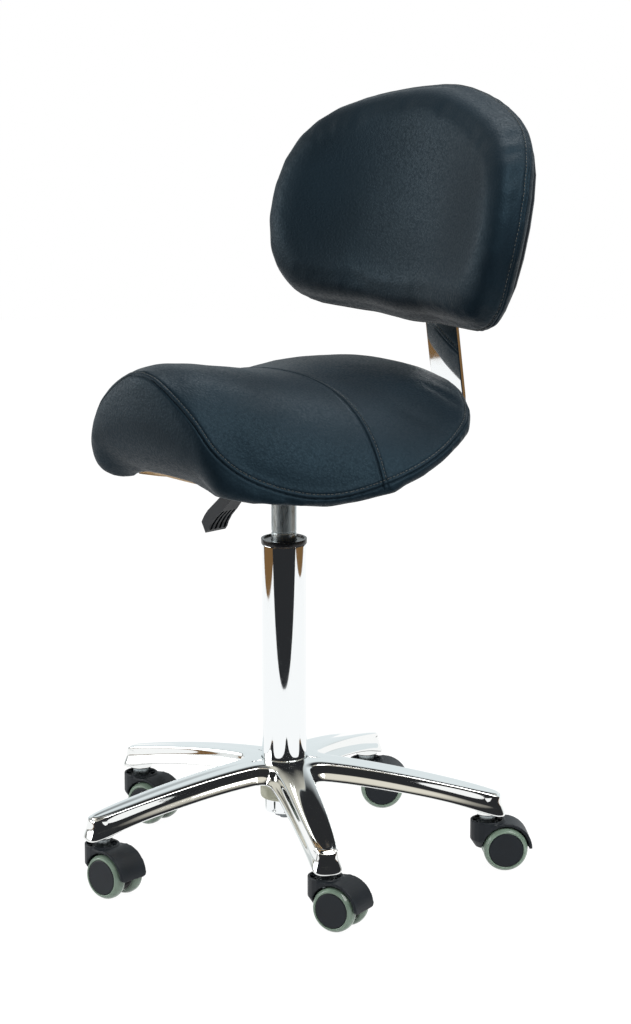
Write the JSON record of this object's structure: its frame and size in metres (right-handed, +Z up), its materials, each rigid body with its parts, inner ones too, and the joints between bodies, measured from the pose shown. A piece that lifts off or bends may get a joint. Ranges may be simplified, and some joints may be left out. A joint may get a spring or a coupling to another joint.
{
  "type": "saddle stool",
  "caption": "Height-adjustable saddle stool with a padded saddle seat, a padded backrest on a bent bar, a gas spring column and a star base on twin-wheel casters.",
  "frame": {"origin": "on the floor, on the axis of the column", "axes": "+Z up the column; -Y to the saddle's nose, where the sitter faces; +X to the sitter's left"},
  "size_m": [0.4973, 0.5317, 0.8595],
  "materials": {
    "chrome": "mirror polished",
    "zinc": "satin zinc plated",
    "steel": "plain",
    "plastic": "fine matt moulding",
    "tread": "smooth glossy polyurethane",
    "plywood": "bare moulded plywood",
    "leatherette": "fine pebbled grain, semi-matt"
  },
  "bodies": {
    "base": {"star_base": "chrome", "column_tube": "chrome", "guide_sleeve": "plastic", "thrust_bearing": "steel", "retaining_clip": "steel", "caster_stem_1": "zinc", "caster_stem_2": "zinc", "caster_stem_3": "zinc", "caster_stem_4": "zinc", "caster_stem_5": "zinc"},
    "rod": {"piston_rod": "steel"},
    "seat": {"gas_cylinder": "zinc", "seat_plate": "steel", "seat_board": "plywood", "seat_cushion": "leatherette", "seat_screw_1": "zinc", "seat_screw_2": "zinc", "seat_screw_3": "zinc", "seat_screw_4": "zinc"},
    "lever": {"lever_rod": "steel", "lever_paddle": "plastic"},
    "pin": {"release_pin": "steel"},
    "bar": {"backrest_bar": "chrome"},
    "back": {"backrest_cushion": "leatherette", "backrest_shell": "plastic"},
    "depth_clamp": {"depth_knob": "plastic"},
    "height_clamp": {"height_knob": "plastic"},
    "caster_1": {"caster_hood_1": "plastic", "caster_axle_1": "steel"},
    "wheel_1a": {"wheel_core_1a": "plastic", "wheel_tread_1a": "tread"},
    "wheel_1b": {"wheel_core_1b": "plastic", "wheel_tread_1b": "tread"},
    "caster_2": {"caster_hood_2": "plastic", "caster_axle_2": "steel"},
    "wheel_2a": {"wheel_core_2a": "plastic", "wheel_tread_2a": "tread"},
    "wheel_2b": {"wheel_core_2b": "plastic", "wheel_tread_2b": "tread"},
    "caster_3": {"caster_hood_3": "plastic", "caster_axle_3": "steel"},
    "wheel_3a": {"wheel_core_3a": "plastic", "wheel_tread_3a": "tread"},
    "wheel_3b": {"wheel_core_3b": "plastic", "wheel_tread_3b": "tread"},
    "caster_4": {"caster_hood_4": "plastic", "caster_axle_4": "steel"},
    "wheel_4a": {"wheel_core_4a": "plastic", "wheel_tread_4a": "tread"},
    "wheel_4b": {"wheel_core_4b": "plastic", "wheel_tread_4b": "tread"},
    "caster_5": {"caster_hood_5": "plastic", "caster_axle_5": "steel"},
    "wheel_5a": {"wheel_core_5a": "plastic", "wheel_tread_5a": "tread"},
    "wheel_5b": {"wheel_core_5b": "plastic", "wheel_tread_5b": "tread"}
  },
  "joints": [
    {"name": "seat_swivel", "type": "hinge", "parent": "base", "child": "rod", "pos_m": [0, 0, 0.07], "axis": [0, 0, 1], "continuous": true},
    {"name": "seat_lift", "type": "slide", "parent": "rod", "child": "seat", "axis": [0, 0, 1], "range_m": [-0.03, 0.165]},
    {"name": "lever_pull", "type": "hinge", "parent": "seat", "child": "lever", "pos_m": [-0.024, 0, 0.4443], "axis": [0, 1, 0], "range_deg": [0, 6], "stiffness_Nm_per_rad": 3, "springref_deg": -5.73},
    {"name": "pin_press", "type": "slide", "parent": "seat", "child": "pin", "axis": [0, 0, 1], "range_m": [-0.003, 0]},
    {"name": "backrest_depth", "type": "slide", "parent": "seat", "child": "bar", "axis": [0, 1, 0], "range_m": [-0.02, 0.04]},
    {"name": "backrest_height", "type": "slide", "parent": "bar", "child": "back", "axis": [0, 0.2656, 0.9641], "range_m": [-0.02, 0.05]},
    {"name": "depth_knob_turn", "type": "hinge", "parent": "seat", "child": "depth_clamp", "pos_m": [0, 0.111, 0.43], "axis": [0, 0, 1], "continuous": true},
    {"name": "height_knob_turn", "type": "hinge", "parent": "back", "child": "height_clamp", "pos_m": [0, 0.25415, 0.68395], "axis": [0, 0.9641, -0.2656], "continuous": true},
    {"name": "caster_swivel_1", "type": "hinge", "parent": "base", "child": "caster_1", "pos_m": [-0.05163, -0.22362, 0.06], "axis": [0, 0, 1], "continuous": true},
    {"name": "wheel_spin_1a", "type": "hinge", "parent": "caster_1", "child": "wheel_1a", "pos_m": [-0.03273, -0.22163, 0.025], "axis": [-0.1045, 0.9945, 0], "continuous": true},
    {"name": "wheel_spin_1b", "type": "hinge", "parent": "caster_1", "child": "wheel_1b", "pos_m": [-0.03273, -0.22163, 0.025], "axis": [-0.1045, 0.9945, 0], "continuous": true},
    {"name": "caster_swivel_2", "type": "hinge", "parent": "base", "child": "caster_2", "pos_m": [0.19672, -0.1182, 0.06], "axis": [0, 0, 1], "continuous": true},
    {"name": "wheel_spin_2a", "type": "hinge", "parent": "caster_2", "child": "wheel_2a", "pos_m": [0.21489, -0.11265, 0.025], "axis": [-0.2924, 0.9563, 0], "continuous": true},
    {"name": "wheel_spin_2b", "type": "hinge", "parent": "caster_2", "child": "wheel_2b", "pos_m": [0.21489, -0.11265, 0.025], "axis": [-0.2924, 0.9563, 0], "continuous": true},
    {"name": "caster_swivel_3", "type": "hinge", "parent": "base", "child": "caster_3", "pos_m": [0.17321, 0.15057, 0.06], "axis": [0, 0, 1], "continuous": true},
    {"name": "wheel_spin_3a", "type": "hinge", "parent": "caster_3", "child": "wheel_3a", "pos_m": [0.1849, 0.16554, 0.025], "axis": [-0.788, 0.6157, 0], "continuous": true},
    {"name": "wheel_spin_3b", "type": "hinge", "parent": "caster_3", "child": "wheel_3b", "pos_m": [0.1849, 0.16554, 0.025], "axis": [-0.788, 0.6157, 0], "continuous": true},
    {"name": "caster_swivel_4", "type": "hinge", "parent": "base", "child": "caster_4", "pos_m": [-0.08967, 0.21126, 0.06], "axis": [0, 0, 1], "continuous": true},
    {"name": "wheel_spin_4a", "type": "hinge", "parent": "caster_4", "child": "wheel_4a", "pos_m": [-0.07624, 0.22469, 0.025], "axis": [-0.7071, 0.7071, 0], "continuous": true},
    {"name": "wheel_spin_4b", "type": "hinge", "parent": "caster_4", "child": "wheel_4b", "pos_m": [-0.07624, 0.22469, 0.025], "axis": [-0.7071, 0.7071, 0], "continuous": true},
    {"name": "caster_swivel_5", "type": "hinge", "parent": "base", "child": "caster_5", "pos_m": [-0.22863, -0.02, 0.06], "axis": [0, 0, 1], "continuous": true},
    {"name": "wheel_spin_5a", "type": "hinge", "parent": "caster_5", "child": "wheel_5a", "pos_m": [-0.21004, -0.01605, 0.025], "axis": [-0.2079, 0.9781, 0], "continuous": true},
    {"name": "wheel_spin_5b", "type": "hinge", "parent": "caster_5", "child": "wheel_5b", "pos_m": [-0.21004, -0.01605, 0.025], "axis": [-0.2079, 0.9781, 0], "continuous": true}
  ],
  "couplings": [
    {"joint": "pin_press", "follows": "lever_pull", "m_per_rad": -0.0275}
  ]
}
